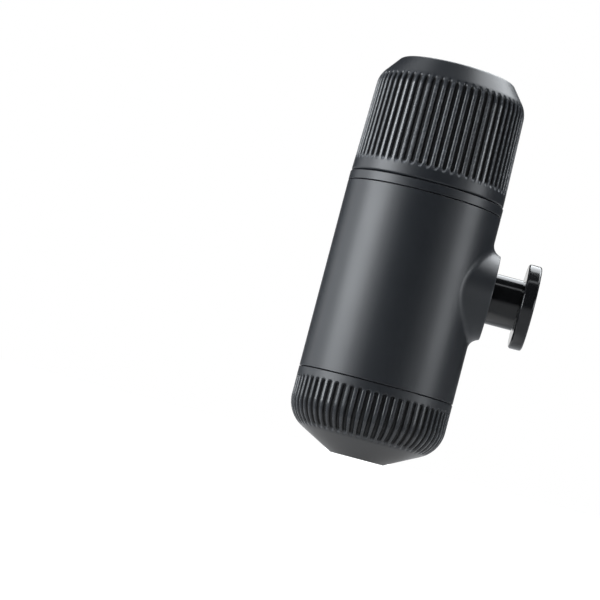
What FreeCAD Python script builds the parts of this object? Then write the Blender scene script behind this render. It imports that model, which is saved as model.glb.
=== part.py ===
import FreeCAD, Part
import math
import os
import re

import Sketcher
from FreeCAD import Vector

# A handheld manual espresso maker. Millimetres, +Z up. The origin is the centre of the flat face
# under the outlet head, on which the machine stands. The pump's piston comes out along +X.

SIZES = {
    # casing
    "body_radius": 31.0,
    "outlet_seam_height": 29.7,
    "collar_height": 3.8,
    "tank_height": 48.4,
    "seam_gap": 0.3,
    "seam_edge_round": 0.2,
    "shell_wall": 2.2,
    # clearances
    "move_gap": 0.3,
    "running_gap": 0.08,
    "press_gap": 0.05,
    "fit_gap": 0.1,
    "room_gap": 0.4,
    # ribs of the tank and the outlet head
    "rib_count": 60,
    "groove_width": 1.8,
    "groove_depth": 1.15,
    "rib_turn": 2.1,
    "cutter_margin": 1.0,
    # outlet head
    "outlet_flat_radius": 10.7,
    "outlet_slope": 27.5,
    "outlet_round": 13.0,
    "outlet_wall": 2.4,
    "outlet_band": 3.3,
    "outlet_groove_end": 51.0,
    "outlet_groove_fade": 5.0,
    "chamber_wall": 2.2,
    "chamber_floor": 2.4,
    "chamber_boss_radius": 7.2,
    "chamber_outlet_radius": 2.6,
    "neck_rise": 11.45,
    "neck_wall": 2.4,
    "neck_land": 4.8,
    "neck_lead": 0.6,
    "thread_gap": 0.6,
    "rim_drop": 3.0,
    # filter basket
    "basket_wall": 0.5,
    "basket_depth": 20.5,
    "basket_rim_width": 2.8,
    "basket_rim": 0.6,
    "basket_foot_gap": 1.6,
    "basket_hole_radius": 0.7,
    "basket_hole_rings": 3,
    "basket_hole_margin": 2.6,
    # spout and the three silicone valves
    "spout_radius": 5.0,
    "spout_bore": 3.0,
    "spout_recess": 0.3,
    "spout_length": 8.7,
    "spout_lead": 0.6,
    "valve_flange": 1.2,
    "valve_flange_gap": 0.4,
    "valve_bill_root": 2.1,
    "valve_bill_tip": 1.0,
    "valve_bill_length": 4.0,
    "bill_gap": 0.5,
    # group head
    "socket_wall": 2.55,
    "socket_head_gap": 1.0,
    "group_plate": 4.0,
    "shower_gap": 0.5,
    "shower_wall": 0.5,
    "shower_drop": 3.4,
    "shower_hole_radius": 0.8,
    "shower_hole_inset": 6.1,
    "shower_hole_count": 12,
    "gasket_groove": 2.0,
    # chassis and screws
    "chassis_gap": 0.4,
    "chassis_plate": 2.5,
    "pillar_radius": 2.6,
    "screw_inset": 5.2,
    "screw_angle": 52.0,
    "screw_radius": 1.2,
    "screw_head_radius": 1.9,
    "screw_head": 1.6,
    "screw_head_gap": 0.2,
    "screw_length": 12.0,
    "screw_sink": 2.0,
    # boss and piston
    "piston_rise": 28.0,
    "boss_rise": 3.6,
    "boss_land": 2.9,
    "boss_wall": 2.2,
    "boss_draft": 20.0,
    "boss_root_round": 4.4,
    "boss_edge_round": 0.5,
    "button_gap": 11.6,
    "button_radius": 17.0,
    "button_thickness": 5.3,
    "button_round": 0.9,
    "stop_gap": 0.2,
    "sleeve_gap": 0.5,
    "sleeve_wall": 1.8,
    "sleeve_end": 2.2,
    "sleeve_step": 0.5,
    # guide and twist lock
    "guide_wall": 2.1,
    "guide_recess": 0.2,
    "bush_length": 8.1,
    "lug_height": 1.4,
    "lug_length": 2.0,
    "lug_angle": 36.0,
    "catch_length": 2.6,
    "catch_gap": 0.6,
    "catch_slot_angle": 50.0,
    # pump
    "tank_rise": 23.2,
    "pump_bore": 5.5,
    "liner_wall": 0.8,
    "barrel_wall": 1.45,
    "barrel_length": 10.0,
    "pump_flange": 3.0,
    "pump_flange_step": 0.4,
    "pump_wall": 3.15,
    "pump_back": 14.0,
    "plug_flange": 2.6,
    "plug_depth": 9.0,
    "column_radius": 8.5,
    "port_radius": 1.6,
    "spigot_radius": 4.7,
    "spigot_length": 7.6,
    "spigot_relief": 0.5,
    "valve_seat_gap": 0.2,
    "oring_section": 0.7,
    "oring_squeeze": 0.28,
    "oring_side_gap": 0.14,
    # plunger
    "rod_gap": 0.5,
    "rod_step": 1.0,
    "seal_groove": 2.0,
    "rod_collar": 1.2,
    "seal_length": 4.0,
    "seal_lip": 1.35,
    "seal_waist": 0.35,
    "seal_inset": 7.4,
    "pin_radius": 2.4,
    "rod_screw_head_radius": 4.0,
    "rod_screw_head": 1.8,
    "rod_screw_length": 7.5,
    "spring_wire": 0.55,
    "spring_radius": 6.2,
    "spring_turns": 7,
    # tank and its socket
    "tank_step": 0.2,
    "tank_draft": 1.4,
    "tank_crown": 12.4,
    "tank_shoulder_round": 10.0,
    "tank_slope": 52.0,
    "tank_edge_round": 2.5,
    "tank_wall": 2.6,
    "tank_band": 5.5,
    "tank_groove_fade": 6.0,
    "tank_thread_gap": 0.7,
    "tank_neck_wall": 2.1,
    "tank_neck_rise": 8.15,
    "tank_neck_lead": 0.5,
    "sump_depth": 9.15,
    "sump_floor": 2.5,
    "tank_seal_width": 1.35,
    "tank_seal_height": 1.6,
    "strainer_radius": 5.5,
    "strainer_height": 3.8,
    "strainer_wall": 0.8,
    "strainer_slots": 8,
    "strainer_slot_width": 1.0,
}

# Places and fits that several pieces share, each a formula of sizes or of other places.
PLACES = {
    # heights, from the rest face up
    "outlet_groove_top": "outlet_seam_height - outlet_band",
    "outlet_top": "outlet_seam_height - seam_gap / 2",
    "shell_bottom": "outlet_seam_height + seam_gap / 2",
    "neck_top": "outlet_top + neck_rise",
    "rim_top": "neck_top - rim_drop",
    "basket_floor": "rim_top - basket_depth",
    "chamber_inside": "basket_floor - basket_wall - basket_foot_gap",
    "spout_top": "spout_recess + spout_length",
    "socket_ceiling": "neck_top + socket_head_gap",
    "group_top": "socket_ceiling + group_plate",
    "column_bottom": "group_top + chassis_plate",
    "piston_height": "group_top + piston_rise",
    "socket_base": "piston_height + tank_rise",
    "sump_bottom": "socket_base + sump_floor",
    "collar_top": "sump_bottom + sump_depth",
    "tank_seam": "collar_top + seam_gap / 2",
    "tank_bottom": "tank_seam + seam_gap / 2",
    "tank_groove_bottom": "tank_seam + tank_band",
    "collar_bottom": "tank_seam - collar_height + seam_gap / 2",
    "shell_top": "tank_seam - collar_height - seam_gap / 2",
    "tank_shoulder": "tank_seam + tank_height - tank_crown",
    "machine_height": "tank_seam + tank_height",
    # radii about Z
    "shell_bore": "body_radius - shell_wall",
    "chassis_radius": "shell_bore - chassis_gap",
    "screw_circle": "chassis_radius - screw_inset",
    "socket_bore": "shell_bore - press_gap - socket_wall",
    "neck_radius": "socket_bore - thread_gap",
    "rim_room": "neck_radius - neck_land",
    "basket_rim_radius": "rim_room - room_gap",
    "basket_radius": "basket_rim_radius - basket_rim_width",
    "shower_radius": "basket_radius - shower_gap",
    "spigot_room": "spigot_radius + move_gap",
    "bill_room": "valve_bill_root + bill_gap",
    "tank_mouth_radius": "body_radius - tank_step",
    "tank_neck_radius": "tank_mouth_radius - tank_wall - tank_thread_gap",
    "tank_seal_inner": "tank_neck_radius + move_gap",
    "tank_seal_outer": "tank_seal_inner + tank_seal_width",
    # the valves' depth in their pockets
    "valve_pocket": "spigot_length + valve_flange + valve_seat_gap",
    # radii about the piston's axis
    "liner_radius": "pump_bore + liner_wall",
    "liner_seat": "liner_radius + press_gap",
    "barrel_radius": "liner_seat + barrel_wall",
    "pump_radius": "liner_seat + pump_wall",
    "rod_tip": "pump_bore - rod_gap",
    "rod_radius": "rod_tip - rod_step",
    "rod_waist": "rod_tip - seal_groove",
    "sleeve_inner": "barrel_radius + sleeve_gap",
    "sleeve_radius": "sleeve_inner + sleeve_wall",
    "lug_room": "sleeve_radius + lug_height + room_gap",
    "guide_radius": "lug_room + guide_wall",
    "boss_radius": "guide_radius + boss_land",
    # places along the piston's axis, from the middle of the machine out
    "boss_face": "body_radius + boss_rise",
    "guide_face": "boss_face - guide_recess",
    "bush_back": "guide_face - bush_length",
    "sleeve_back": "bush_back - move_gap - lug_length",
    "sleeve_face": "boss_face + button_gap",
    "stroke": "button_gap - stop_gap",
    "catch_back": "bush_back - move_gap - stroke + catch_gap",
    "catch_front": "catch_back + catch_length",
    "guide_back": "sleeve_back - stroke - catch_gap",
    "barrel_end": "guide_back + barrel_length",
    "seal_place": "barrel_end - seal_inset",
}

doc = FreeCAD.newDocument("EspressoMaker")
sheet = doc.addObject("Spreadsheet::Sheet", "Sizes")
pieces = []
cuts = []


def fill_sheet():
    """One row per size: its name beside its number, with the name as the number's alias."""
    for row, (name, number) in enumerate(SIZES.items(), 1):
        sheet.set(f"A{row}", name)
        sheet.set(f"B{row}", str(number))
        sheet.setAlias(f"B{row}", name)
    doc.recompute()


def formula(text):
    """A formula of sizes and places as an expression that points into the sheet."""

    def cell(word):
        if word[0] in PLACES:
            return f"({formula(PLACES[word[0]])})"
        return "Sizes." + word[0] if word[0] in SIZES else word[0]

    return re.sub(r"[a-z]\w*", cell, text)


def number(text):
    """What a formula comes to, in millimetres or degrees."""
    found = sheet.evalExpression(formula(text))
    return float(getattr(found, "Value", found))


def new_body(label, along="Z"):
    """An empty body. One made along X stands with its own X axis on the piston's axis."""
    body = doc.addObject("PartDesign::Body", label)
    body.AllowCompound = True
    if along == "X":
        body.setExpression("Placement.Base.z", formula("piston_height"))
    pieces.append(body)
    return body


def origin(body, role):
    """One of the body's own origin planes or axes."""
    return next(item for item in body.Origin.OriginFeatures if item.Role == role)


def new_sketch(body, name, role, offset="0"):
    """A sketch on one of the body's origin planes, moved out along the plane's normal."""
    sketch = body.newObject("Sketcher::SketchObject", name)
    sketch.AttachmentSupport = (origin(body, role), [""])
    sketch.MapMode = "FlatFace"
    sketch.setExpression("AttachmentOffset.Base.z", formula(offset))
    return sketch


def arc_between(start, end, radius):
    """The short arc between two points; it bulges to the right of the way for a positive radius."""
    chord = end - start
    rise = math.sqrt(radius**2 - (chord.Length / 2) ** 2)
    side = Vector(-chord.y, chord.x, 0).normalize() * math.copysign(1, radius)
    centre = start + chord / 2 + side * rise
    return Part.Arc(start, centre - side * abs(radius), end)


def outline(body, name, points, role="XZ_Plane", offset="0"):
    """A closed profile through corner points, each a pair of formulas for its two coordinates.

    A third formula makes the side that leads to its point an arc of that radius."""
    sketch = new_sketch(body, name, role, offset)
    corners = [Vector(number(point[0]), number(point[1]), 0) for point in points]
    sides = []
    for place, start in enumerate(corners):
        after = (place + 1) % len(points)
        if len(points[after]) == 3:
            side = arc_between(start, corners[after], number(points[after][2]))
        else:
            side = Part.LineSegment(start, corners[after])
        sketch.addGeometry(side, False)
        # an arc's own start and end may be the other way round
        first = 1 if (sketch.getPoint(place, 1) - start).Length < 1e-6 else 2
        sides.append((first, 3 - first))
    for place, (first, last) in enumerate(sides):
        after = (place + 1) % len(points)
        sketch.addConstraint(Sketcher.Constraint("Coincident", place, last, after, sides[after][0]))
    for place, (first, last) in enumerate(sides):
        for kind, text in zip(("DistanceX", "DistanceY"), points[place]):
            bind(sketch, Sketcher.Constraint(kind, -1, 1, place, first, number(text)), text)
        leads_to = points[(place + 1) % len(points)]
        if len(leads_to) == 3:
            radius = abs(number(leads_to[2]))
            bind(sketch, Sketcher.Constraint("Radius", place, radius), f"abs({leads_to[2]})")
    return sketch


def bind(sketch, constraint, text):
    """Adds a constraint whose size follows a formula."""
    place = sketch.addConstraint(constraint)
    sketch.setExpression(f"Constraints[{place}]", formula(text))


def circles(body, name, centres, radius, role="XY_Plane", offset="0"):
    """A sketch of equal circles at the given pairs of formulas."""
    sketch = new_sketch(body, name, role, offset)
    for place, (across, up) in enumerate(centres):
        middle = Vector(number(across), number(up), 0)
        sketch.addGeometry(Part.Circle(middle, Vector(0, 0, 1), number(radius)), False)
        bind(sketch, Sketcher.Constraint("Radius", place, number(radius)), radius)
        for kind, text in (("DistanceX", across), ("DistanceY", up)):
            bind(sketch, Sketcher.Constraint(kind, -1, 1, place, 3, number(text)), text)
    return sketch


def turn(body, name, points, kind="Revolution", axis="V_Axis", angle="360", role="XZ_Plane"):
    """Turns a profile about an axis of its sketch. A part turn is centred on the sketch's plane."""
    sketch = outline(body, name + "_profile", points, role)
    feature = body.newObject("PartDesign::" + kind, name)
    feature.Profile = sketch
    feature.ReferenceAxis = (sketch, [axis])
    feature.Midplane = angle != "360"
    feature.setExpression("Angle", formula(angle))
    if kind == "Groove":
        cuts.append(feature)
    return feature


def turned(label, points, along="Z"):
    """A body turned about Z, or about the piston's axis, from (radius, height) or (x, radius)."""
    body = new_body(label, along)
    turn(body, "turned", points, axis="V_Axis" if along == "Z" else "H_Axis")
    return body


def bored(body, name, points, along="Z"):
    """Turns a profile about the body's axis and takes it away."""
    return turn(body, name, points, "Groove", "V_Axis" if along == "Z" else "H_Axis")


def pad(body, name, sketch, height):
    """Raises a sketch along its plane's normal."""
    feature = body.newObject("PartDesign::Pad", name)
    feature.Profile = sketch
    feature.setExpression("Length", formula(height))
    return feature


def pocket(body, name, sketch, depth, centred=False):
    """Cuts a sketch along its plane's normal, or to both sides of its plane."""
    feature = body.newObject("PartDesign::Pocket", name)
    feature.Profile = sketch
    feature.Reversed = not centred
    feature.Midplane = centred
    feature.setExpression("Length", formula(depth))
    cuts.append(feature)
    return feature


def ring_of(body, name, feature, count, axis="Z_Axis"):
    """Repeats a feature evenly round an axis."""
    pattern = body.newObject("PartDesign::PolarPattern", name)
    pattern.Originals = [feature]
    pattern.Axis = (origin(body, axis), [""])
    pattern.Angle = 360
    pattern.setExpression("Occurrences", formula(count))
    body.Tip = pattern
    return pattern


def edges_near(body, test):
    """Names of the edges of the body so far that a test of the edge picks."""
    doc.recompute()
    edges = body.Tip.Shape.Edges
    return [f"Edge{place}" for place, edge in enumerate(edges, 1) if test(edge)]


def circle_at(height=None, radius=None, along="z"):
    """A test for a full circle at a height along an axis, or of a radius, or both."""

    def test(edge):
        if not isinstance(edge.Curve, Part.Circle) or len(edge.Vertexes) > 1:
            return False
        place_fits = height is None or abs(getattr(edge.Curve.Center, along) - number(height)) < 0.01
        size_fits = radius is None or abs(edge.Curve.Radius - number(radius)) < 0.01
        return place_fits and size_fits

    return test


def dress(body, name, kind, test, radius):
    """Rounds or chamfers the edges that a test picks."""
    names = edges_near(body, test)
    base = body.Tip
    feature = body.newObject("PartDesign::" + kind, name)
    feature.Base = (base, names)
    feature.setExpression("Radius" if kind == "Fillet" else "Size", formula(radius))
    return feature


def hollow(body, name, wall, open_height):
    """Turns a solid into a shell, open at the flat face at one height, its outside as it was."""
    doc.recompute()
    base = body.Tip
    faces = base.Shape.Faces
    flat = [isinstance(face.Surface, Part.Plane) for face in faces]
    levels = [abs(face.CenterOfMass.z - number(open_height)) < 0.01 for face in faces]
    opened = next(f"Face{n}" for n, found in enumerate(zip(flat, levels), 1) if all(found))
    feature = body.newObject("PartDesign::Thickness", name)
    feature.Base = (base, [opened])
    feature.Reversed = True
    feature.Join = 1
    feature.setExpression("Value", formula(wall))
    cuts.append(feature)
    return feature


def arc_point(centre, radius, angle):
    """The point at an angle above the horizontal on a circle, as a pair of formulas."""
    across = f"{centre[0]} + ({radius}) * cos(({angle}) * 1 deg)"
    up = f"{centre[1]} + ({radius}) * sin(({angle}) * 1 deg)"
    return across, up


def screw_places():
    """The four places of the chassis pillars and their screws."""
    across = "screw_circle * cos(screw_angle * 1 deg)"
    back = "screw_circle * sin(screw_angle * 1 deg)"
    return [(side + across, end + back) for side in ("", "-") for end in ("", "-")]


# Outlet head


def outlet_arc():
    """Centre of the round between the outlet head's wall and its cone."""
    across = "(body_radius - outlet_round)"
    tangent = f"({across} - outlet_flat_radius) * tan(outlet_slope * 1 deg)"
    return across, f"({tangent} + outlet_round / cos(outlet_slope * 1 deg))"


def outlet_shell():
    """Ribbed outer skin of the outlet head: a cup with a cone and a round under a straight wall."""
    body = new_body("outlet_shell")
    centre = outlet_arc()
    cone_end = arc_point(centre, "outlet_round", "outlet_slope - 90")
    turn(body, "skin", [
        ("0", "0"),
        ("outlet_flat_radius", "0"),
        cone_end,
        ("body_radius", centre[1], "outlet_round"),
        ("body_radius", "outlet_top"),
        ("0", "outlet_top"),
    ])
    hollow(body, "inside", "outlet_wall", "outlet_top")
    dress(body, "seam_edge", "Fillet", circle_at("outlet_top", "body_radius"), "seam_edge_round")
    hole = circles(body, "spout_hole_circle", [("0", "0")], "spout_radius + press_gap")
    pocket(body, "spout_hole", hole, "outlet_wall * 2")
    cutter = outline(body, "groove_side", [
        ("body_radius + cutter_margin", "outlet_groove_top"),
        ("body_radius", "outlet_groove_top"),
        ("body_radius - groove_depth", "outlet_groove_top - groove_depth"),
        ("body_radius - groove_depth", centre[1]),
        arc_point(centre, "outlet_round - groove_depth", "outlet_groove_fade - outlet_groove_end")
        + ("-(outlet_round - groove_depth)",),
        arc_point(centre, "outlet_round + cutter_margin", "-outlet_groove_end"),
        ("body_radius + cutter_margin", centre[1], "outlet_round + cutter_margin"),
    ])
    groove = pocket(body, "groove", cutter, "groove_width", centred=True)
    ring_of(body, "ribs", groove, "rib_count")
    body.setExpression("Placement.Rotation.Angle", formula("rib_turn * 1 deg"))


def brew_chamber():
    """Inner cup of the outlet head, with the neck that screws into the group head."""
    inner = "(basket_radius + basket_wall + room_gap)"
    foot = "(chamber_inside - chamber_floor)"
    socket = "(spout_radius + press_gap)"
    seat = "(rim_top - basket_rim)"
    flange = "(outlet_top - outlet_wall)"
    web = f"({seat} - neck_wall)"
    skirt_bore = f"({inner} + chamber_wall)"
    valve_seat = "(spout_top + valve_flange + fit_gap)"
    body = turned("brew_chamber", [
        ("chamber_outlet_radius", "chamber_inside"),
        (inner, "chamber_inside"),
        (inner, seat),
        ("rim_room", seat),
        ("rim_room", "neck_top"),
        ("neck_radius", "neck_top"),
        ("neck_radius", "outlet_top"),
        ("body_radius - outlet_wall - press_gap", "outlet_top"),
        ("body_radius - outlet_wall - press_gap", flange),
        ("neck_radius - neck_wall", flange),
        ("neck_radius - neck_wall", web),
        (skirt_bore, web),
        (skirt_bore, foot),
        ("chamber_boss_radius", foot),
        ("chamber_boss_radius", "outlet_wall"),
        (socket, "outlet_wall"),
        (socket, valve_seat),
        ("chamber_outlet_radius", valve_seat),
    ])
    dress(body, "neck_lead", "Chamfer", circle_at("neck_top", "neck_radius"), "neck_lead")


def spout_nozzle():
    """Short tube pressed into the outlet head's flat; its mouth lies just above the rest face."""
    body = turned("spout_nozzle", [
        ("spout_bore", "spout_recess"),
        ("spout_radius", "spout_recess"),
        ("spout_radius", "spout_top"),
        ("spout_bore", "spout_top"),
    ])
    dress(body, "mouth", "Chamfer", circle_at("spout_recess", "spout_bore"), "spout_lead")


def silicone_valve(label, top, radius):
    """One-way valve: a flat flange with a bill under it that opens to the flow."""
    flange_foot = f"({top} - valve_flange)"
    turned(label, [
        ("0", top),
        (radius, top),
        (radius, flange_foot),
        ("valve_bill_root", flange_foot),
        ("valve_bill_tip", f"{flange_foot} - valve_bill_length"),
        ("0", f"{flange_foot} - valve_bill_length"),
    ])


def filter_basket():
    """Pressed steel cup for the coffee, hung by its rim, with three rings of holes in its floor."""
    outer = "(basket_radius + basket_wall)"
    body = turned("filter_basket", [
        ("0", "basket_floor"),
        ("basket_radius", "basket_floor"),
        ("basket_radius", "rim_top"),
        ("basket_rim_radius", "rim_top"),
        ("basket_rim_radius", "rim_top - basket_rim"),
        (outer, "rim_top - basket_rim"),
        (outer, "basket_floor - basket_wall"),
        ("0", "basket_floor - basket_wall"),
    ])
    foot = "basket_floor - basket_wall - cutter_margin"
    for ring in range(1, round(number("basket_hole_rings")) + 1):
        place = [(f"(basket_radius - basket_hole_margin) * {ring} / basket_hole_rings", "0")]
        circle = circles(body, f"hole_circle_{ring}", place, "basket_hole_radius", offset=foot)
        hole = pocket(body, f"hole_{ring}", circle, "basket_wall + cutter_margin * 2")
        ring_of(body, f"holes_{ring}", hole, f"{6 * ring}")


# Group head and chassis


def group_head():
    """Socket under the body for the outlet head's neck, with the water's way in its ceiling."""
    groove_in = "(basket_radius + move_gap - fit_gap)"
    groove_out = "(basket_rim_radius + fit_gap)"
    groove_top = "(socket_ceiling + gasket_groove)"
    boss_foot = "(socket_ceiling - shower_drop)"
    boss = "(shower_radius - shower_wall - press_gap)"
    spigot_top = "(group_top + chassis_plate + spigot_length - spigot_relief)"
    body = turned("group_head", [
        ("bill_room", boss_foot),
        (boss, boss_foot),
        (boss, "socket_ceiling"),
        (groove_in, "socket_ceiling"),
        (groove_in, groove_top),
        (groove_out, groove_top),
        (groove_out, "socket_ceiling"),
        ("socket_bore", "socket_ceiling"),
        ("socket_bore", "shell_bottom"),
        ("shell_bore - press_gap", "shell_bottom"),
        ("shell_bore - press_gap", "group_top"),
        ("spigot_radius", "group_top"),
        ("spigot_radius", spigot_top),
        ("bill_room", spigot_top),
    ])
    oring_groove(body, "column_bottom + spigot_length / 2")
    screw_holes(body, "socket_ceiling", "group_top", "socket_ceiling")


def oring_groove(body, height):
    """Groove round a spigot for an O-ring centred at a height."""
    floor = "(spigot_radius + oring_squeeze - oring_section * 2)"
    side = "(oring_section + oring_side_gap)"
    bored(body, "oring_groove", [
        (floor, f"{height} - {side}"),
        ("spigot_radius + fit_gap", f"{height} - {side}"),
        ("spigot_radius + fit_gap", f"{height} + {side}"),
        (floor, f"{height} + {side}"),
    ])


def oring(label, height):
    """O-ring round a spigot at a height."""
    ring = doc.addObject("Part::Torus", label)
    ring.setExpression("Radius1", formula("spigot_radius + oring_squeeze - oring_section"))
    ring.setExpression("Radius2", formula("oring_section"))
    ring.setExpression("Placement.Base.z", formula(height))
    pieces.append(ring)


def screw_holes(body, bottom, top, sink_bottom):
    """Four clearance holes through a plate, each with a sink for the screw's head."""
    hole = "screw_radius + press_gap"
    sink = "screw_head_radius + screw_head_gap"
    holes = circles(body, "screw_circles", screw_places(), hole, offset=bottom)
    pocket(body, "screw_holes", holes, f"{top} - {bottom}")
    sinks = circles(body, "sink_circles", screw_places(), sink, offset=sink_bottom)
    pocket(body, "screw_sinks", sinks, "screw_sink")


def screws(label, head_bottom, shank_bottom):
    """Four pan-head screws as one group."""
    body = new_body(label)
    heads = circles(body, "head_circles", screw_places(), "screw_head_radius", offset=head_bottom)
    pad(body, "heads", heads, "screw_head")
    shanks = circles(body, "shank_circles", screw_places(), "screw_radius", offset=shank_bottom)
    pad(body, "shanks", shanks, "screw_length")


def group_gasket():
    """Rubber ring in the group head that the basket's rim is pressed against."""
    turned("group_gasket", [
        ("basket_radius + move_gap", "rim_top + fit_gap"),
        ("basket_rim_radius", "rim_top + fit_gap"),
        ("basket_rim_radius", "socket_ceiling + gasket_groove"),
        ("basket_radius + move_gap", "socket_ceiling + gasket_groove"),
    ])


def shower_screen():
    """Pressed steel cap on the group head's boss, with a ring of holes and one in the middle."""
    foot = "(socket_ceiling - shower_drop)"
    body = turned("shower_screen", [
        ("0", f"{foot} - shower_wall"),
        ("shower_radius", f"{foot} - shower_wall"),
        ("shower_radius", f"{foot} + shower_drop / 2"),
        ("shower_radius - shower_wall", f"{foot} + shower_drop / 2"),
        ("shower_radius - shower_wall", foot),
        ("0", foot),
    ])
    start = f"{foot} - shower_wall - cutter_margin"
    middle = circles(body, "middle_circle", [("0", "0")], "shower_hole_radius", offset=start)
    pocket(body, "middle_hole", middle, "shower_wall + cutter_margin * 2")
    place = [("shower_radius - shower_hole_inset", "0")]
    circle = circles(body, "hole_circle", place, "shower_hole_radius", offset=start)
    hole = pocket(body, "hole", circle, "shower_wall + cutter_margin * 2")
    ring_of(body, "holes", hole, "shower_hole_count")


def chassis():
    """Moulded frame: two plates and four pillars, with the pump's column between the plates."""
    body = new_body("chassis")
    middle = [("0", "0")]
    upper = "(socket_base - chassis_plate)"
    plate = circles(body, "lower_circle", middle, "chassis_radius", offset="group_top")
    pad(body, "lower_plate", plate, "chassis_plate")
    pillar_circles = circles(body, "pillar_circles", screw_places(), "pillar_radius", offset="group_top")
    pad(body, "pillars", pillar_circles, "socket_base - group_top")
    plate = circles(body, "upper_circle", middle, "chassis_radius", offset=upper)
    pad(body, "upper_plate", plate, "chassis_plate")
    spigot = circles(body, "spigot_circle", middle, "spigot_room", offset="group_top")
    pocket(body, "spigot_hole", spigot, "chassis_plate")
    column = circles(body, "column_circle", middle, "column_radius + press_gap", offset=upper)
    pocket(body, "column_hole", column, "chassis_plate")
    for name, start in (("lower", "group_top"), ("upper", "socket_base - screw_length")):
        place = screw_places()
        bores = circles(body, name + "_bore_circles", place, "screw_radius + press_gap", offset=start)
        pocket(body, name + "_bores", bores, "screw_length")


# Body


def body_shell():
    """Plain cylindrical casing with the round boss for the piston, which flares to a soft root."""
    body = new_body("body_shell")
    middle = [("0", "0")]
    axis = [("0", "piston_height")]
    barrel = circles(body, "barrel_circle", middle, "body_radius", offset="shell_bottom")
    pad(body, "barrel", barrel, "shell_top - shell_bottom")
    boss = body.newObject("PartDesign::AdditiveCone", "boss")
    boss.AttachmentSupport = (origin(body, "YZ_Plane"), [""])
    boss.MapMode = "FlatFace"
    boss.setExpression("AttachmentOffset.Base.y", formula("piston_height"))
    boss.setExpression("Radius1", formula("boss_radius + boss_face * tan(boss_draft * 1 deg)"))
    boss.setExpression("Radius2", formula("boss_radius"))
    boss.setExpression("Height", formula("boss_face"))
    face = circle_at("boss_face", "boss_radius", "x")
    dress(body, "boss_edge", "Fillet", face, "boss_edge_round")
    dress(body, "lower_seam_edge", "Fillet", circle_at("shell_bottom", "body_radius"), "seam_edge_round")
    dress(body, "upper_seam_edge", "Fillet", circle_at("shell_top", "body_radius"), "seam_edge_round")

    def root(edge):
        box = edge.BoundBox
        return box.XMin > number("body_radius") / 2 and box.XLength > 1 and not face(edge)

    dress(body, "boss_root", "Fillet", root, "boss_root_round")
    inside = circles(body, "inside_circle", middle, "shell_bore", offset="shell_bottom")
    pocket(body, "inside", inside, "shell_top - shell_bottom")
    recess = circles(body, "recess_circle", axis, "boss_radius - boss_wall", "YZ_Plane")
    pocket(body, "recess", recess, "boss_face - boss_wall")
    hole = circles(body, "guide_circle", axis, "guide_radius + press_gap", "YZ_Plane")
    pocket(body, "guide_hole", hole, "boss_face + cutter_margin")


def collar_ring():
    """Plain band between the body's seam and the tank's seam."""
    body = turned("collar_ring", [
        ("shell_bore", "collar_bottom"),
        ("body_radius", "collar_bottom"),
        ("body_radius", "collar_top"),
        ("shell_bore", "collar_top"),
    ])
    dress(body, "seam_edges", "Fillet", circle_at(radius="body_radius"), "seam_edge_round")


# Pump


def piston_guide():
    """Bush in the boss. Behind it lie the room for the sleeve's lugs and the slotted catch."""
    bush = "(sleeve_radius + running_gap)"
    catch = "(sleeve_radius + move_gap)"
    body = turned("piston_guide", [
        ("guide_back", "lug_room"),
        ("catch_back", "lug_room"),
        ("catch_back", catch),
        ("catch_front", catch),
        ("catch_front", "lug_room"),
        ("bush_back", "lug_room"),
        ("bush_back", bush),
        ("guide_face", bush),
        ("guide_face", "guide_radius"),
        ("guide_back", "guide_radius"),
    ], along="X")
    slot = turn(body, "slot", [
        ("catch_back - cutter_margin", f"{catch} - cutter_margin"),
        ("catch_front + cutter_margin", f"{catch} - cutter_margin"),
        ("catch_front + cutter_margin", "lug_room"),
        ("catch_back - cutter_margin", "lug_room"),
    ], "Groove", "H_Axis", "catch_slot_angle", "XY_Plane")
    ring_of(body, "slots", slot, "2", "X_Axis")


def pump_block():
    """Moulded pump: the barrel along the piston's axis, crossed by the column with the valves."""
    body = turned("pump_block", [
        ("-pump_back", "liner_seat"),
        ("barrel_end", "liner_seat"),
        ("barrel_end", "barrel_radius"),
        ("guide_back", "barrel_radius"),
        ("guide_back", "guide_radius - pump_flange_step"),
        ("guide_back - pump_flange", "guide_radius - pump_flange_step"),
        ("guide_back - pump_flange", "pump_radius"),
        ("-pump_back", "pump_radius"),
    ], along="X")
    bottom = "(column_bottom - piston_height)"
    top = "(socket_base - move_gap - piston_height)"
    middle = [("0", "0")]
    column = circles(body, "column_circle", middle, "column_radius", offset=bottom)
    pad(body, "column", column, f"{top} - {bottom}")
    bored(body, "bore", [
        ("-pump_back - cutter_margin", "0"),
        ("barrel_end", "0"),
        ("barrel_end", "liner_seat"),
        ("-pump_back - cutter_margin", "liner_seat"),
    ], along="X")
    channel = circles(body, "channel_circle", middle, "port_radius", offset=bottom)
    pocket(body, "channel", channel, f"{top} - {bottom}")
    lower = circles(body, "lower_circle", middle, "spigot_room", offset=bottom)
    pocket(body, "lower_pocket", lower, "valve_pocket")
    floor = f"({top} - valve_pocket)"
    upper = circles(body, "upper_circle", middle, "spigot_room", offset=floor)
    pocket(body, "upper_pocket", upper, "valve_pocket")
    bill_foot = f"({floor} - valve_bill_length - move_gap)"
    bill = circles(body, "bill_circle", middle, "bill_room", offset=bill_foot)
    pocket(body, "bill_pocket", bill, f"{floor} - {bill_foot}")


def cylinder_liner():
    """Steel tube that the plunger's seal runs in, with a port above and a port below."""
    body = turned("cylinder_liner", [
        ("press_gap - pump_back", "pump_bore"),
        ("barrel_end - room_gap", "pump_bore"),
        ("barrel_end - room_gap", "liner_radius"),
        ("press_gap - pump_back", "liner_radius"),
    ], along="X")
    port = circles(body, "port_circle", [("0", "0")], "port_radius")
    pocket(body, "ports", port, "liner_radius * 2 + cutter_margin", centred=True)


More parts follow.
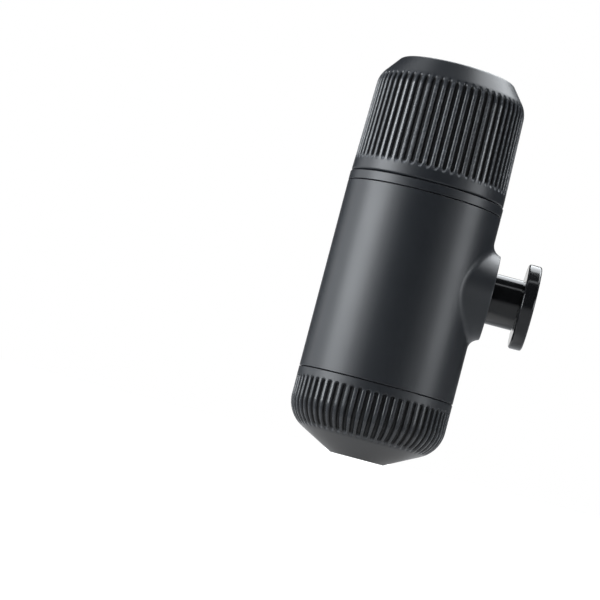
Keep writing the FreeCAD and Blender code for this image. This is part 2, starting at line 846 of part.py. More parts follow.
def cylinder_plug():
    """Plug that closes the barrel's back end."""
    turned("cylinder_plug", [
        ("-pump_back - plug_flange", "0"),
        ("-pump_back + plug_depth", "0"),
        ("-pump_back + plug_depth", "pump_bore - press_gap"),
        ("-pump_back", "pump_bore - press_gap"),
        ("-pump_back", "pump_radius"),
        ("-pump_back - plug_flange", "pump_radius"),
    ], along="X")


def plunger_rod():
    """Steel rod from the seal to the pin in the sleeve's end wall."""
    shoulder = "(sleeve_face - sleeve_end - move_gap)"
    pin_end = "(sleeve_face + move_gap)"
    body = turned("plunger_rod", [
        ("seal_place - rod_collar", "0"),
        ("seal_place - rod_collar", "rod_tip"),
        ("seal_place", "rod_tip"),
        ("seal_place", "rod_waist"),
        ("seal_place + seal_length", "rod_waist"),
        ("seal_place + seal_length", "rod_tip"),
        ("seal_place + seal_length + rod_collar", "rod_tip"),
        ("seal_place + seal_length + rod_collar", "rod_radius"),
        (shoulder, "rod_radius"),
        (shoulder, "pin_radius"),
        (pin_end, "pin_radius"),
        (pin_end, "0"),
    ], along="X")
    bored(body, "screw_bore", [
        (f"{pin_end} - rod_screw_length - move_gap", "0"),
        (f"{pin_end} + cutter_margin", "0"),
        (f"{pin_end} + cutter_margin", "screw_radius + press_gap"),
        (f"{pin_end} - rod_screw_length - move_gap", "screw_radius + press_gap"),
    ], along="X")


def plunger_seal():
    """Rubber seal between the rod's two collars, with a lip at each end."""
    middle = "(seal_place + seal_length / 2)"
    lip = "(pump_bore - running_gap)"
    turned("plunger_seal", [
        ("seal_place + press_gap", "rod_waist + press_gap"),
        ("seal_place + press_gap", lip),
        ("seal_place + seal_lip", lip),
        (middle, f"{lip} - seal_waist"),
        ("seal_place + seal_length - seal_lip", lip),
        ("seal_place + seal_length - press_gap", lip),
        ("seal_place + seal_length - press_gap", "rod_waist + press_gap"),
    ], along="X")


def rod_screw():
    """Screw that keeps the sleeve on the rod's pin and lets it turn."""
    seat = "(sleeve_face + move_gap)"
    turned("rod_screw", [
        (f"{seat} - rod_screw_length", "0"),
        (f"{seat} + rod_screw_head", "0"),
        (f"{seat} + rod_screw_head", "rod_screw_head_radius"),
        (seat, "rod_screw_head_radius"),
        (seat, "screw_radius"),
        (f"{seat} - rod_screw_length", "screw_radius"),
    ], along="X")


def return_spring():
    """Coil spring between the barrel's end and the sleeve's end wall."""
    body = new_body("return_spring", "X")
    start = "(barrel_end + move_gap + spring_wire)"
    end = "(sleeve_face - sleeve_end - move_gap - spring_wire)"
    wire = circles(body, "wire_circle", [(start, "spring_radius")], "spring_wire", "XZ_Plane")
    coil = body.newObject("PartDesign::AdditiveHelix", "coil")
    coil.Profile = wire
    coil.ReferenceAxis = (wire, ["H_Axis"])
    coil.Mode = "height-turns-angle"
    coil.setExpression("Height", formula(f"{end} - {start}"))
    coil.setExpression("Turns", formula("spring_turns"))


def piston_sleeve():
    """Glossy stem: a tube closed by an end wall, with two lugs at its inner end."""
    neck = "(sleeve_radius - sleeve_step)"
    body = turned("piston_sleeve", [
        ("sleeve_back", "sleeve_inner"),
        ("sleeve_back", "sleeve_radius"),
        ("sleeve_face - sleeve_step", "sleeve_radius"),
        ("sleeve_face - sleeve_step", neck),
        ("sleeve_face", neck),
        ("sleeve_face", "pin_radius + running_gap"),
        ("sleeve_face - sleeve_end", "pin_radius + running_gap"),
        ("sleeve_face - sleeve_end", "sleeve_inner"),
    ], along="X")
    lug = turn(body, "lug", [
        ("sleeve_back", "sleeve_radius - sleeve_wall / 2"),
        ("sleeve_back + lug_length", "sleeve_radius - sleeve_wall / 2"),
        ("sleeve_back + lug_length", "sleeve_radius + lug_height"),
        ("sleeve_back", "sleeve_radius + lug_height"),
    ], "Revolution", "H_Axis", "lug_angle", "XY_Plane")
    ring_of(body, "lugs", lug, "2", "X_Axis")


def button_cap():
    """Round end of the piston, with a recess at its back over the rod's screw."""
    front = "(sleeve_face + button_thickness)"
    recess = "(rod_screw_head_radius + room_gap)"
    recess_front = "(sleeve_face + move_gap * 2 + rod_screw_head)"
    body = turned("button_cap", [
        (recess_front, "0"),
        (front, "0"),
        (front, "button_radius"),
        ("sleeve_face", "button_radius"),
        ("sleeve_face", recess),
        (recess_front, recess),
    ], along="X")
    dress(body, "rim", "Fillet", circle_at(radius="button_radius", along="x"), "button_round")


# Tank


def tank_socket():
    """Floor and threaded neck that carry the tank, with the water's way down to the pump."""
    bore = "(tank_neck_radius - tank_neck_wall)"
    outer = "(shell_bore - press_gap)"
    neck_top = "(collar_top + tank_neck_rise)"
    body = turned("tank_socket", [
        ("port_radius", "sump_bottom"),
        (bore, "sump_bottom"),
        (bore, neck_top),
        ("tank_neck_radius", neck_top),
        ("tank_neck_radius", "collar_top"),
        (outer, "collar_top"),
        (outer, "socket_base"),
        ("spigot_radius", "socket_base"),
        ("spigot_radius", "socket_base - spigot_length"),
        ("port_radius", "socket_base - spigot_length"),
    ])
    dress(body, "neck_lead", "Chamfer", circle_at(neck_top, "tank_neck_radius"), "tank_neck_lead")
    oring_groove(body, "socket_base - spigot_length / 2")
    holes = circles(body, "screw_circles", screw_places(), "screw_radius + press_gap", offset="socket_base")
    pocket(body, "screw_holes", holes, "sump_floor")


def inlet_strainer():
    """Slotted cap over the water's way down."""
    top = "(sump_bottom + strainer_height)"
    inner = "(strainer_radius - strainer_wall)"
    body = turned("inlet_strainer", [
        ("0", top),
        ("strainer_radius", top),
        ("strainer_radius", "sump_bottom"),
        (inner, "sump_bottom"),
        (inner, f"{top} - strainer_wall"),
        ("0", f"{top} - strainer_wall"),
    ])
    slot_inner = f"({inner} - cutter_margin)"
    slot_top = f"({top} - strainer_wall * 2)"
    side = outline(body, "slot_side", [
        (slot_inner, "sump_bottom"),
        ("strainer_radius + cutter_margin", "sump_bottom"),
        ("strainer_radius + cutter_margin", slot_top),
        (slot_inner, slot_top),
    ])
    slot = pocket(body, "slot", side, "strainer_slot_width", centred=True)
    ring_of(body, "slots", slot, "strainer_slots")


def tank_seal():
    """Flat rubber ring held in the tank's mouth."""
    turned("tank_seal", [
        ("tank_seal_inner", "tank_bottom"),
        ("tank_seal_outer", "tank_bottom"),
        ("tank_seal_outer", "tank_bottom + tank_seal_height"),
        ("tank_seal_inner", "tank_bottom + tank_seal_height"),
    ])


def tank_radius(height):
    """Outer radius of the tank's drafted wall at a height."""
    return f"(tank_mouth_radius - ({height} - tank_bottom) * tan(tank_draft * 1 deg))"


def water_tank():
    """Ribbed cap-shaped tank: drafted wall, round shoulder, cone and a flat top to stand on."""
    body = new_body("water_tank")
    shoulder = "tank_shoulder"
    centre = (
        f"({tank_radius(shoulder)} - tank_shoulder_round * cos(tank_draft * 1 deg))",
        "(tank_shoulder - tank_shoulder_round * sin(tank_draft * 1 deg))",
    )
    cone_angle = "90 - tank_slope"
    cone_start = arc_point(centre, "tank_shoulder_round", cone_angle)
    flat_radius = f"{cone_start[0]} - (machine_height - ({cone_start[1]})) / tan(tank_slope * 1 deg)"
    turn(body, "skin", [
        ("0", "tank_bottom"),
        ("tank_mouth_radius", "tank_bottom"),
        (tank_radius(shoulder), shoulder),
        cone_start + ("tank_shoulder_round",),
        (flat_radius, "machine_height"),
        ("0", "machine_height"),
    ])
    dress(body, "top_edge", "Fillet", circle_at("machine_height"), "tank_edge_round")
    hollow(body, "inside", "tank_wall", "tank_bottom")
    dress(body, "seam_edge", "Fillet", circle_at("tank_bottom", "tank_mouth_radius"), "seam_edge_round")
    rebate_top = "(tank_bottom + tank_seal_height + move_gap)"
    bored(body, "seal_rebate", [
        ("tank_neck_radius", "tank_bottom - cutter_margin"),
        ("tank_seal_outer + move_gap", "tank_bottom - cutter_margin"),
        ("tank_seal_outer + move_gap", rebate_top),
        ("tank_neck_radius", rebate_top),
    ])
    low = "tank_groove_bottom"
    deep = f"{low} + groove_depth"
    cutter = outline(body, "groove_side", [
        arc_point(centre, "tank_shoulder_round + cutter_margin", "tank_draft"),
        (f"{tank_radius(low)} + cutter_margin", low),
        (tank_radius(low), low),
        (f"{tank_radius(deep)} - groove_depth", deep),
        arc_point(centre, "tank_shoulder_round - groove_depth", "tank_draft"),
        arc_point(centre, "tank_shoulder_round - groove_depth", f"{cone_angle} - tank_groove_fade")
        + ("tank_shoulder_round - groove_depth",),
        arc_point(centre, "tank_shoulder_round + cutter_margin", cone_angle),
    ])
    groove = pocket(body, "groove", cutter, "groove_width", centred=True)
    ring_of(body, "ribs", groove, "rib_count")
    body.setExpression("Placement.Rotation.Angle", formula("rib_turn * 1 deg"))


def check_and_write():
    """Stops on any failed object, cut that cut nothing, or bad solid; then writes every piece."""
    for item in doc.Objects:
        if "Invalid" in item.State or "Error" in item.State:
            raise RuntimeError(f"{item.Label} failed: {item.State}")
    for cut in cuts:
        if cut.Shape.Volume >= cut.BaseFeature.Shape.Volume:
            raise RuntimeError(f"{cut.Label} of {cut.getParent().Label} cuts nothing")
    os.makedirs("parts", exist_ok=True)
    for piece in pieces:
        shape = piece.Shape
        if shape.isNull() or not shape.isValid() or not shape.Solids:
            raise RuntimeError(f"{piece.Label} is no valid solid")
        shape.exportStep(f"parts/{piece.Label}.step")
        print(f"{piece.Label}: {len(shape.Solids)} solid(s), {shape.Volume:.1f} mm3")


fill_sheet()
outlet_shell()
brew_chamber()
spout_nozzle()
silicone_valve("foamer_valve", "(spout_top + valve_flange + press_gap)", "spout_radius - valve_flange_gap")
filter_basket()
group_head()
group_gasket()
shower_screen()
chassis()
screws("group_screws", "socket_ceiling + screw_sink - screw_head", "socket_ceiling + screw_sink")
body_shell()
collar_ring()
piston_guide()
pump_block()
cylinder_liner()
cylinder_plug()
pocket_valve = "spigot_room - valve_flange_gap"
silicone_valve("outlet_valve", "(column_bottom + valve_pocket - press_gap)", pocket_valve)
silicone_valve("inlet_valve", "(socket_base - spigot_length - press_gap)", pocket_valve)
oring("outlet_oring", "column_bottom + spigot_length / 2")
oring("inlet_oring", "socket_base - spigot_length / 2")
return_spring()
plunger_rod()
plunger_seal()
rod_screw()
piston_sleeve()
button_cap()
tank_socket()
screws("chassis_screws", "sump_bottom", "sump_bottom - screw_length")
inlet_strainer()
tank_seal()
water_tank()
doc.recompute()
check_and_write()
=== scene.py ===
import math

import bmesh
import bpy
from mathutils import Matrix, Vector


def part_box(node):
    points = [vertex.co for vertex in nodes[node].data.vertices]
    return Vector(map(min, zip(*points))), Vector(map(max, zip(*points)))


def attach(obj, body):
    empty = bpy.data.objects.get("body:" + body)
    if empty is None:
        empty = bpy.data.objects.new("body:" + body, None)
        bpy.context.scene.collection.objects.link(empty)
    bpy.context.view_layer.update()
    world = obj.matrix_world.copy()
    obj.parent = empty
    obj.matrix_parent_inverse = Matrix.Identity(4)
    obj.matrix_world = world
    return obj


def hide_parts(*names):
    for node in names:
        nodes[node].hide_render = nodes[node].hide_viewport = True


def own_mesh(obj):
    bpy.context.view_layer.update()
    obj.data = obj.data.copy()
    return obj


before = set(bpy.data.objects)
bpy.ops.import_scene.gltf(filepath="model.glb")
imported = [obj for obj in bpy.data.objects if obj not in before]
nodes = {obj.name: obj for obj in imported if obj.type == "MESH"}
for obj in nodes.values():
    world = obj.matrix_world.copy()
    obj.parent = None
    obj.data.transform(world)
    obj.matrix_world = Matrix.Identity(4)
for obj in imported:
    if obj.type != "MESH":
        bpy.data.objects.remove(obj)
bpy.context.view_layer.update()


# ---------------------------------------------------------------------------------------------
# Group head: the plate with a threaded skirt that the outlet head screws into. It is moulded in
# black glass-filled nylon, and carries a silicone ring seal and a pressed steel shower screen.

SOCKET_RADIUS = 0.0262
GROUP_THREAD_BASE = 0.0325
THREAD_LEAD = 0.008
THREAD_STARTS = 3
THREAD_TURNS = 0.62
THREAD_HALF_WIDTH = 0.00055
THREAD_TAPER = 0.12
THREAD_STEPS = 54
FEMALE_RISE = 0.0002
BAR_SIDES = 10
BAR_TIP = 0.02
TOUCHING = 1e-6
NYLON_DARK = (0.011, 0.0112, 0.012, 1)
NYLON_LIGHT = (0.023, 0.0232, 0.0245, 1)
FIBRE_GREY = (0.060, 0.060, 0.062, 1)
SILICONE_DARK = (0.036, 0.034, 0.032, 1)
SILICONE_LIGHT = (0.062, 0.058, 0.054, 1)
DUST = (0.17, 0.165, 0.155, 1)
STEEL_DARK = (0.42, 0.41, 0.40, 1)
STEEL_LIGHT = (0.63, 0.62, 0.60, 1)
ZINC_WARM = (0.46, 0.44, 0.38, 1)
ZINC_COOL = (0.40, 0.43, 0.47, 1)
ZINC_PIT = (0.16, 0.155, 0.15, 1)


class Field:
    """One output of a node. Arithmetic on it adds Math nodes to the same tree.

    A Field with no output only holds the tree, to start its first nodes from."""

    def __init__(self, tree, output=None):
        self.tree = tree
        self.output = output

    def node(self, kind, settings=None, inputs=None, output=0):
        """A new node: its settings first, then the values or links of its inputs."""
        made = self.tree.nodes.new(kind)
        for name, value in (settings or {}).items():
            setattr(made, name, value)
        for name, value in (inputs or {}).items():
            if isinstance(value, Field):
                self.tree.links.new(value.output, made.inputs[name])
            else:
                made.inputs[name].default_value = value
        return Field(self.tree, made.outputs[output] if made.outputs else None)

    def math(self, operation, *others):
        """A Math node on this value and the others."""
        inputs = dict(enumerate((self,) + others))
        return self.node("ShaderNodeMath", {"operation": operation}, inputs)

    def __add__(self, other):
        return self.math("ADD", other)

    def __sub__(self, other):
        return self.math("SUBTRACT", other)

    def __mul__(self, other):
        return self.math("MULTIPLY", other)

    def __rsub__(self, other):
        return self * -1 + other

    def __truediv__(self, other):
        return self.math("DIVIDE", other)

    def __rtruediv__(self, other):
        return self.node("ShaderNodeMath", {"operation": "DIVIDE"}, {0: other, 1: self})

    __radd__ = __add__
    __rmul__ = __mul__

    def blur_step(self, low, high):
        """0 at low, 1 at high and smooth between."""
        inputs = {"Value": self, "From Min": low, "From Max": high}
        return self.node("ShaderNodeMapRange", {"interpolation_type": "SMOOTHSTEP"}, inputs)

    def blend(self, first, second):
        """A colour between two, by this share. Inputs 6 and 7 and output 2 of a Mix are its colours."""
        inputs = {0: self, 6: first, 7: second}
        return self.node("ShaderNodeMix", {"data_type": "RGBA"}, inputs, 2)

    def noise(self, scale, detail=2.0, roughness=0.5):
        """Noise over these coordinates, in lumps per metre."""
        inputs = {"Vector": self, "Scale": scale, "Detail": detail, "Roughness": roughness}
        return self.node("ShaderNodeTexNoise", None, inputs)

    def stretched(self, *scales):
        """These coordinates times a scale along each axis."""
        return self.node("ShaderNodeVectorMath", {"operation": "MULTIPLY"}, {0: self, 1: scales})

    def axes(self):
        """The three coordinates by themselves."""
        return [self.node("ShaderNodeSeparateXYZ", None, {0: self}, name) for name in "XYZ"]


def new_material(name):
    """An empty material and the place on the surface to start its fields from."""
    made = bpy.data.materials.new(name)
    made.use_nodes = True
    made.node_tree.nodes.clear()
    spot = Field(made.node_tree).node("ShaderNodeTexCoord", output="Object")
    return made, spot


def shade(spot, colour, roughness, relief, depth, share, metallic=0.0):
    """Puts the one shader of a material on its output, with a relief so many metres deep."""
    bump = {"Height": relief, "Distance": depth, "Strength": share}
    inputs = {"Base Color": colour, "Roughness": roughness, "Metallic": metallic,
              "Normal": spot.node("ShaderNodeBump", None, bump)}
    surface = spot.node("ShaderNodeBsdfPrincipled", None, inputs)
    spot.node("ShaderNodeOutputMaterial", None, {"Surface": surface})


def filled_nylon(name):
    """Black nylon with short glass fibres: flow bands, a sparse fibre glint and a dull skin."""
    made, spot = new_material(name)
    flow = spot.stretched(1, 1, 0.25).noise(260, 4.0, 0.6)
    grain = spot.noise(2600, 2.0)
    fibre = spot.stretched(1, 0.2, 1).noise(5200, 0.0).blur_step(0.72, 0.80)
    colour = (flow * 0.75 + grain * 0.25).blend(NYLON_DARK, NYLON_LIGHT)
    colour = (fibre * 0.5).blend(colour, FIBRE_GREY)
    roughness = 0.46 + (flow - 0.5) * 0.25 - fibre * 0.12
    shade(spot, colour, roughness, grain + fibre * 0.4, 0.000012, 0.6)
    return made


def ring_silicone(name):
    """Dark silicone rubber: faint clouds, a sprinkle of dust, and soft pores."""
    made, spot = new_material(name)
    cloud = spot.noise(180, 3.0)
    pores = spot.noise(4200, 1.0)
    dust = spot.noise(1500, 3.0, 0.7).blur_step(0.66, 0.78)
    colour = (dust * 0.55).blend(cloud.blend(SILICONE_DARK, SILICONE_LIGHT), DUST)
    roughness = 0.40 + cloud * 0.16 + dust * 0.2
    shade(spot, colour, roughness, pores - dust * 0.5, 0.00001, 0.5)
    return made


def turned_steel(name, along_x=False, axis_height=0.0, roughness=0.26, dark=STEEL_DARK, light=STEEL_LIGHT):
    """Stainless steel with fine rings round its axis, a few deeper ones, and handling smears.

    The axis is Z, or a line along X at a height."""
    made, spot = new_material(name)
    x, y, z = spot.axes()
    along = x if along_x else z
    side = z - axis_height if along_x else x
    reach = (side * side + y * y).math("SQRT")
    rings_at = spot.node("ShaderNodeCombineXYZ", None, {"X": reach, "Y": along})
    fine = rings_at.noise(9000, 2.0, 0.7)
    deep = rings_at.noise(1400, 1.0).blur_step(0.60, 0.68)
    smear = spot.noise(240, 4.0, 0.6)
    colour = (fine * 0.5 + smear * 0.5).blend(dark, light)
    finish = roughness + (fine - 0.5) * 0.14 + (smear - 0.5) * 0.22
    shade(spot, colour, finish, fine * 0.6 - deep * 0.4, 0.000006, 0.5, metallic=1.0)
    return made


def zinc_steel(name):
    """Zinc-plated screw steel: warm and cool passivation patches and a lightly pitted skin."""
    made, spot = new_material(name)
    patch = spot.noise(420, 3.0)
    pits = spot.noise(5200, 2.0)
    colour = patch.blur_step(0.35, 0.65).blend(ZINC_COOL, ZINC_WARM)
    colour = (pits.blur_step(0.62, 0.75) * 0.5).blend(colour, ZINC_PIT)
    shade(spot, colour, 0.30 + (pits - 0.5) * 0.3, pits, 0.000008, 0.5, metallic=1.0)
    return made


def coil_tree():
    """A bar of oval section wound round Z, tapered at its ends, repeated and put in its place."""
    tree = bpy.data.node_groups.new("wound_bar", "GeometryNodeTree")
    wanted = {"Radius": "Float", "Turns": "Float", "Lead": "Float", "Starts": "Int", "Thick": "Float",
              "Wide": "Float", "Taper": "Float", "Steps": "Int", "Sides": "Int", "Tilt": "Vector",
              "Place": "Vector", "Finish": "Material"}
    for name, kind in wanted.items():
        tree.interface.new_socket(name, in_out="INPUT", socket_type=f"NodeSocket{kind}")
    tree.interface.new_socket("Bar", in_out="OUTPUT", socket_type="NodeSocketGeometry")
    given = tree.nodes.new("NodeGroupInput")
    get = {name: Field(tree, given.outputs[name]) for name in wanted}
    start = Field(tree)
    line = start.node("GeometryNodeCurvePrimitiveLine")
    path = start.node("GeometryNodeResampleCurve", None, {"Curve": line, "Count": get["Steps"]})
    share = start.node("GeometryNodeSplineParameter")
    angle = share * get["Turns"] * (2 * math.pi)
    spot = start.node("ShaderNodeCombineXYZ", None, {
        "X": angle.math("COSINE") * get["Radius"],
        "Y": angle.math("SINE") * get["Radius"],
        "Z": share * get["Turns"] * get["Lead"],
    })
    path = start.node("GeometryNodeSetPosition", None, {"Geometry": path, "Position": spot})
    path = start.node("GeometryNodeSetCurveNormal", {"mode": "Z_UP"}, {"Curve": path})
    to_end = share.math("MINIMUM", 1 - share)
    thin = (to_end / get["Taper"]).math("MINIMUM", 1.0).math("MAXIMUM", BAR_TIP)
    path = start.node("GeometryNodeSetCurveRadius", None, {"Curve": path, "Radius": thin})
    oval = start.node("GeometryNodeCurvePrimitiveCircle", None, {"Resolution": get["Sides"], "Radius": 1.0})
    size = start.node("ShaderNodeCombineXYZ", None, {"X": get["Thick"], "Y": get["Wide"], "Z": 1.0})
    oval = start.node("GeometryNodeTransform", None, {"Geometry": oval, "Scale": size})
    inputs = {"Curve": path, "Profile Curve": oval, "Fill Caps": True}
    bar = start.node("GeometryNodeCurveToMesh", None, inputs)
    points = start.node("GeometryNodeMeshLine", None, {"Count": get["Starts"], "Offset": (0, 0, 0)})
    step = 2 * math.pi / get["Starts"]
    turn = start.node("ShaderNodeCombineXYZ", None, {"Z": start.node("GeometryNodeInputIndex") * step})
    inputs = {"Points": points, "Instance": bar, "Rotation": turn}
    copies = start.node("GeometryNodeInstanceOnPoints", None, inputs)
    inputs = {"Geometry": copies, "Translation": get["Place"], "Rotation": get["Tilt"]}
    put = start.node("GeometryNodeTransform", None, inputs)
    real = start.node("GeometryNodeRealizeInstances", None, {"Geometry": put})
    done = start.node("GeometryNodeSetMaterial", None, {"Geometry": real, "Material": get["Finish"]})
    tree.links.new(done.output, tree.nodes.new("NodeGroupOutput").inputs[0])
    return tree


def grown(piece, tree, **values):
    """Gives a piece what a node tree makes of it, as a plain closed mesh."""
    bpy.context.scene.collection.objects.link(piece)
    modifier = piece.modifiers.new("nodes", "NODES")
    modifier.node_group = tree
    for item in tree.interface.items_tree:
        if item.in_out == "INPUT" and item.name.lower() in values:
            modifier[item.identifier] = values[item.name.lower()]
    bpy.context.view_layer.update()
    seen = piece.evaluated_get(bpy.context.evaluated_depsgraph_get())
    mesh = bpy.data.meshes.new_from_object(seen)
    piece.modifiers.clear()
    piece.data = mesh
    shape = bmesh.new()
    shape.from_mesh(mesh)
    bmesh.ops.remove_doubles(shape, verts=shape.verts, dist=TOUCHING)
    bmesh.ops.recalc_face_normals(shape, faces=shape.faces)
    shape.to_mesh(mesh)
    shape.free()
    mesh.shade_smooth()
    return piece


def fix(piece, body, slot, *replaced):
    """A finished piece rides on its body and stands for its CAD nodes. The slot is not used."""
    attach(piece, body)
    if replaced:
        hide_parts(*replaced)


def finish(material, *names):
    """Gives CAD nodes that are shown as they are their material."""
    for name in names:
        nodes[name].data.materials[0] = material


def thread(name, body, radius, rise, base, material):
    """The three ridges of a quick right-handed thread, half sunk in a neck or a socket."""
    piece = bpy.data.objects.new(name, bpy.data.meshes.new(name))
    grown(piece, wound_bar, radius=radius, turns=THREAD_TURNS, lead=THREAD_LEAD, starts=THREAD_STARTS,
          thick=rise, wide=THREAD_HALF_WIDTH, taper=THREAD_TAPER, steps=THREAD_STEPS, sides=BAR_SIDES,
          tilt=(0, 0, 0), place=(0, 0, base), finish=material)
    fix(piece, body, "inner_plastic")


wound_bar = coil_tree()
nylon = filled_nylon("black_filled_nylon")
silicone = ring_silicone("seal_silicone")
pressed_steel = turned_steel("pressed_steel")
screw_steel = zinc_steel("zinc_screw_steel")

finish(nylon, "group_head")
finish(silicone, "group_gasket")
finish(pressed_steel, "shower_screen")
finish(screw_steel, "group_screws")
thread("group_thread", "casing", SOCKET_RADIUS, FEMALE_RISE, GROUP_THREAD_BASE, nylon)


# ---------------------------------------------------------------------------------------------
# Chassis and pump: a two-plate chassis on four pillars holds the pump block across the body.
# The block has a pressed-in steel bore, a screwed plug and two silicone duckbill valves.

PISTON_HEIGHT = 0.074

bore_steel = turned_steel("honed_bore_steel", along_x=True, axis_height=PISTON_HEIGHT, roughness=0.2)
finish(nylon, "chassis", "pump_block", "cylinder_plug")
finish(bore_steel, "cylinder_liner")
finish(silicone, "inlet_valve", "outlet_valve", "inlet_oring", "outlet_oring")


# ---------------------------------------------------------------------------------------------
# Tank socket: the floor and the threaded neck that the water tank screws onto, moulded like the
# chassis that it is screwed to, with a slotted strainer pressed into the water's way down.

SOCKET_NECK_RADIUS = 0.0275
SOCKET_THREAD_BASE = 0.1105
MALE_RISE = 0.0003

finish(nylon, "tank_socket", "inlet_strainer")
finish(screw_steel, "chassis_screws")
thread("tank_socket_thread", "casing", SOCKET_NECK_RADIUS, MALE_RISE, SOCKET_THREAD_BASE, nylon)


# ---------------------------------------------------------------------------------------------
# Body: a smooth round shell with a drafted boss for the piston, and a narrow collar ring above it.
# Both are dark grey nylon from a finely eroded mould, slid over the chassis, polished at the edges.

CASE_DARK = (0.0148, 0.0170, 0.0208, 1)
CASE_LIGHT = (0.0192, 0.0220, 0.0268, 1)
CASE_WORN = (0.046, 0.049, 0.055, 1)
CASE_ROUGHNESS = 0.38
EDGE_BAND = 0.00022
BOSS_EDGE_RADIUS = 0.0162
BOSS_EDGE_BLUR = 0.0004
BOSS_EDGE_START = 0.0008
BOSS_EDGE_FULL = 0.0002
# painted shade for the grooves of the ribbed pieces, and painted highlights for their ridges' crests and the
# grooves' lower ends
GROOVE_PAINTED_SHADE = (0.0035, 0.004, 0.005, 1)
GROOVE_END_PAINTED_HIGHLIGHT = (0.46, 0.48, 0.51, 1)
RIDGE_PAINTED_HIGHLIGHT = (0.120, 0.126, 0.136, 1)
CREST_WALL = (0.50, 0.90)
PAINTED_SHADE_WALL = (0.3, 0.85)
DULL_WALL = (0.2, 0.6)


def case_nylon(name, bottom=None, top=None, boss=None, painted_light=None):
    """Dark grey nylon: an eroded grain, faint flow clouds and hand-polished edges.

    Edges are polished at a bottom, a top and the boss's end. A ribbed piece says how strong its painted
    light is: a painted highlight on its ridges' crests and in its grooves' lower ends, and painted shade
    in its grooves, which are also dull."""
    made, spot = new_material(name)
    x, y, z = spot.axes()
    grain = spot.noise(3600, 3.0, 0.6)
    cloud = spot.noise(70, 3.0)
    patchy = spot.noise(900, 4.0, 0.65).blur_step(0.45, 0.7)
    colour = (cloud * 0.7 + grain * 0.3).blend(CASE_DARK, CASE_LIGHT)
    roughness = CASE_ROUGHNESS + (cloud - 0.5) * 0.06 + (grain - 0.5) * 0.08
    lightened = z * 0
    if bottom is not None:
        lightened = z.blur_step(bottom + EDGE_BAND, bottom)
    if top is not None:
        lightened = lightened.math("MAXIMUM", z.blur_step(top - EDGE_BAND, top))
    if boss is not None:
        level = z - PISTON_HEIGHT
        reach = (y * y + level * level).math("SQRT")
        rim = reach.blur_step(BOSS_EDGE_RADIUS, BOSS_EDGE_RADIUS + BOSS_EDGE_BLUR)
        lightened = lightened.math("MAXIMUM", x.blur_step(boss - BOSS_EDGE_START, boss - BOSS_EDGE_FULL) * rim)
    wear_and_highlight_colour = CASE_WORN
    if painted_light is not None:
        ridge, rib, foot = (spot.node("ShaderNodeAttribute", {"attribute_name": part}, None, "Fac")
                            for part in ("ridge", "rib", "foot"))
        crest = ridge.blur_step(*CREST_WALL) * rib
        # painted shade: the grooves' walls and floors are coloured near black
        colour = ridge.blur_step(*PAINTED_SHADE_WALL).blend(GROOVE_PAINTED_SHADE, colour)
        roughness = roughness + (1 - ridge.blur_step(*DULL_WALL)) * 0.3 - crest * 0.14
        # painted highlight: the ridges' crests are coloured paler
        lightened = crest * painted_light
        wear_and_highlight_colour = RIDGE_PAINTED_HIGHLIGHT
        # painted highlight: the grooves' lower ends are coloured pale
        colour = (foot * (0.7 + patchy * 0.3) * painted_light).blend(colour, GROOVE_END_PAINTED_HIGHLIGHT)
    # a plain piece's polished edges, and a ribbed piece's painted crest highlight, lighten in patches
    lightened = lightened * (0.35 + patchy * 0.65)
    colour = lightened.blend(colour, wear_and_highlight_colour)
    shade(spot, colour, roughness - lightened * 0.08, grain, 0.00001, 0.5)
    return made


shell_low, shell_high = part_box("body_shell")
collar_low, collar_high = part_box("collar_ring")
finish(case_nylon("shell_nylon", shell_low.z, shell_high.z, shell_high.x), "body_shell")
finish(case_nylon("collar_nylon", collar_low.z, collar_high.z), "collar_ring")


# ---------------------------------------------------------------------------------------------
# Piston: a nylon guide in the boss, a steel rod with its cup seal, a wound return spring, and the
# glossy black sleeve and push button, which turn to lock and are held on the rod by one screw.

SPRING_RADIUS = 0.0062
SPRING_WIRE = 0.00055
SPRING_TURNS = 7
SPRING_TURN_STEPS = 40
SPRING_TAPER = 0.0001
SPRING_DARK = (0.30, 0.29, 0.28, 1)
SPRING_LIGHT = (0.50, 0.49, 0.47, 1)
GLOSS_DARK = (0.0075, 0.008, 0.0092, 1)
GLOSS_LIGHT = (0.0115, 0.012, 0.0135, 1)
GLOSS_WORN = (0.040, 0.041, 0.044, 1)
RIM_BAND = 0.0007
SLEEVE_EDGE = 0.0006
BUTTON_EDGE = 0.0008
BUTTON_EDGE_FULL = 0.0001


def gloss_black(name, rim, edges):
    """Polished black ABS: hairlines from wiping, finger smears, and edges rubbed a little dull.

    Each edge is a band along X, at the rim of a round piece."""
    made, spot = new_material(name)
    x, y, z = spot.axes()
    level = z - PISTON_HEIGHT
    reach = (y * y + level * level).math("SQRT")
    hair = spot.stretched(0.12, 1, 1).noise(5200, 3.0, 0.7)
    smear = spot.noise(130, 4.0, 0.6)
    speck = spot.noise(2600, 2.0).blur_step(0.70, 0.76)
    lightened = x * 0
    for near, far in edges:
        lightened = lightened.math("MAXIMUM", x.blur_step(near, far))
    lightened = lightened * spot.noise(1100, 3.0).blur_step(0.35, 0.65) * reach.blur_step(rim - RIM_BAND, rim)
    colour = (lightened * 0.7).blend(smear.blend(GLOSS_DARK, GLOSS_LIGHT), GLOSS_WORN)
    roughness = 0.13 + smear.blur_step(0.45, 0.75) * 0.10 + speck * 0.15 + lightened * 0.1
    shade(spot, colour, roughness, hair * 0.5 + speck * 0.2, 0.000003, 0.4)
    return made


